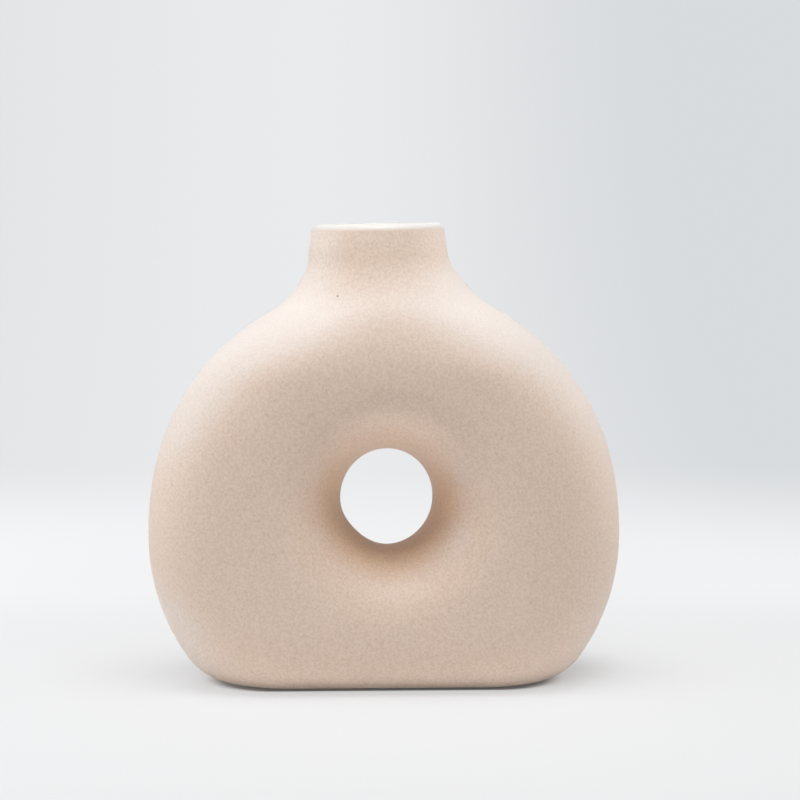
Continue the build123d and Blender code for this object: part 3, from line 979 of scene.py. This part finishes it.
class VASE_OT_lining(bpy.types.Operator):
    """Line the inside with white glaze, turned out over the lip"""

    bl_idname = "vase.lining"
    bl_label = "White glaze"

    def execute(self, context):
        sizes = context.scene.vase_sizes
        form = VaseForm(sizes)
        surface = Surface(form)
        bed_foot, bed_neck = surface.skin(sizes.wall)
        foot, neck = surface.skin(sizes.wall + sizes.glaze)
        bed = [surface.row(ring) for ring in form.lip_rings(sizes.glaze)]
        crown = [surface.row(ring) for ring in form.lip_rings(0)]
        surface.strips([neck] + crown[::-1] + bed + [bed_neck])
        surface.cap(bed_foot)
        surface.cap(foot)
        material = white_glaze_material(context.scene.vase_finish, form)
        piece = surface.piece("glaze_lining", material, sizes.crease)
        seat(piece, "white_glaze", "liner_glaze")
        return {"FINISHED"}


class VASE_OT_slab(bpy.types.Operator):
    """Close the underside with a slab of bare clay, its edges softened"""

    bl_idname = "vase.slab"
    bl_label = "Base slab"

    def execute(self, context):
        sizes = context.scene.vase_sizes
        form = VaseForm(sizes)
        surface = Surface(form)
        top = sizes.base + sizes.wall
        edge = sizes.slab_edge
        rows = []
        for inset, z in ((edge, sizes.base), (0, sizes.base + edge), (0, top - edge), (edge, top)):
            ring = form.slot_ring(sizes.slab_length - inset, sizes.slab_depth - inset, z)
            rows.append(surface.row(ring))
        surface.strips(rows)
        surface.cap(rows[0])
        surface.cap(rows[-1])
        material = bare_clay_material(context.scene.vase_finish)
        piece = surface.piece("bare_slab", material, sizes.slab_crease)
        seat(piece, "bare_clay", "base_slab")
        return {"FINISHED"}


class VASE_OT_pads(bpy.types.Operator):
    """Set four rubber pads with rounded edges under the slab"""

    bl_idname = "vase.pads"
    bl_label = "Rubber pads"

    def execute(self, context):
        sizes = context.scene.vase_sizes
        material = rubber_material(context.scene.vase_finish)
        for node in PAD_NODES:
            piece = self.pad(node, sizes).piece(f"rubber_{node}", material, sizes.crease)
            seat(piece, "pad_rubber", node)
        return {"FINISHED"}

    def pad(self, node, sizes):
        """A round pad as wide and as high as its solid."""
        low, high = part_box(node)
        middle = (low + high) / 2
        edge = sizes.pad_edge
        flat = (high.x - low.x) / 2 - edge
        turns = np.linspace(0, math.pi / 2, sizes.pad_edge_count + 1)
        profile = [(flat + edge * math.sin(turn), low.z + edge - edge * math.cos(turn)) for turn in turns]
        profile += [(radius, low.z + high.z - z) for radius, z in profile[::-1]]
        around = np.linspace(0, 2 * math.pi, sizes.pad_count, endpoint=False)
        circle = np.column_stack([np.cos(around), np.sin(around)])
        surface = Surface()
        rows = []
        for radius, z in profile:
            plan = circle * radius + (middle.x, middle.y)
            rows.append(surface.row(np.column_stack([plan, np.full(len(plan), z)])))
        surface.strips(rows)
        surface.faces += [tuple(rows[0]), tuple(rows[-1])]
        return surface


class VASE_OT_stage(bpy.types.Operator):
    """Set up the pale sweep, the soft lamps and the camera"""

    bl_idname = "vase.stage"
    bl_label = "Stage"

    def execute(self, context):
        stage = context.scene.vase_stage
        self.make_sweep(stage, VaseForm(context.scene.vase_sizes))
        self.make_lamps(context, stage)
        self.make_camera(context, stage)
        context.scene.view_settings.view_transform = "Standard"
        return {"FINISHED"}

    def make_sweep(self, stage, form):
        """Floor that curves up into a backdrop."""
        turns = np.linspace(0, math.pi / 2, stage.sweep_count + 1)
        curve_y = stage.sweep_start + stage.sweep_radius * np.sin(turns)
        curve_z = stage.sweep_radius * (1 - np.cos(turns))
        profile = [(-stage.sweep_reach, 0.0), *zip(curve_y, curve_z), (curve_y[-1], stage.sweep_height)]
        surface = Surface()
        ends = (-stage.sweep_reach, stage.sweep_reach)
        rows = [surface.row([(x, y, z) for x in ends]) for y, z in profile]
        surface.strips(rows, closed=False)
        mesh = surface.mesh("paper_sweep")
        mesh.shade_smooth()
        foot_length = form.half_width(form.s.base, 0)
        mesh.materials.append(sweep_material(stage, foot_length, form.foot_depth))
        sweep = put("paper_sweep", mesh)

    def make_lamps(self, context, stage):
        """The panels of the light tent and a little light from all round."""
        for lamp in LAMPS:
            light = bpy.data.lights.new(lamp.name, "AREA")
            light.shape = "RECTANGLE"
            light.size = lamp.width
            light.size_y = lamp.depth
            light.energy = lamp.power
            holder = put(lamp.name, light)
            holder.location = lamp.place
            holder.rotation_euler = [math.radians(turn) for turn in lamp.turn]
        world = bpy.data.worlds.new("studio")
        context.scene.world = world
        graph = Graph(world)
        inputs = {"Color": rgba(stage.sky), "Strength": stage.sky_strength}
        sky = graph.node("ShaderNodeBackground", None, inputs)
        graph.node("ShaderNodeOutputWorld", None, {"Surface": sky["Background"]})

    def make_camera(self, context, stage):
        """Camera at the photograph's viewing angle."""
        camera = bpy.data.cameras.new("camera")
        camera.lens = camera.sensor_width * stage.focal_pixels / IMAGE_PIXELS
        across = math.sin(stage.azimuth) * stage.distance
        away = -math.cos(stage.azimuth) * stage.distance
        holder = put("camera", camera)
        holder.location = (across, away, stage.height)
        holder.rotation_euler = (math.pi / 2 - stage.pitch, -stage.roll, stage.azimuth - stage.aim)
        context.scene.camera = holder


class VASE_PT_panel(bpy.types.Panel):
    """Lists the vase's pieces and its stage"""

    bl_idname = "VASE_PT_panel"
    bl_label = "Ring Vase"
    bl_space_type = "VIEW_3D"
    bl_region_type = "UI"
    bl_category = "Vase"

    def draw(self, context):
        for operator in OPERATORS:
            self.layout.operator(operator.bl_idname)


GROUPS = {"vase_sizes": VaseSizes, "vase_finish": VaseFinish, "vase_stage": VaseStage}
OPERATORS = (VASE_OT_body, VASE_OT_lining, VASE_OT_slab, VASE_OT_pads, VASE_OT_stage)


def register():
    for name, group in GROUPS.items():
        bpy.utils.register_class(group)
        setattr(bpy.types.Scene, name, PointerProperty(type=group))
    for operator in OPERATORS:
        bpy.utils.register_class(operator)
    bpy.utils.register_class(VASE_PT_panel)


def unregister():
    bpy.utils.unregister_class(VASE_PT_panel)
    for operator in reversed(OPERATORS):
        bpy.utils.unregister_class(operator)
    for name, group in reversed(GROUPS.items()):
        delattr(bpy.types.Scene, name)
        bpy.utils.unregister_class(group)


def main():
    register()
    bpy.ops.vase.body()
    bpy.ops.vase.lining()
    bpy.ops.vase.slab()
    bpy.ops.vase.pads()
    bpy.ops.vase.stage()


if __name__ == "__main__":
    main()
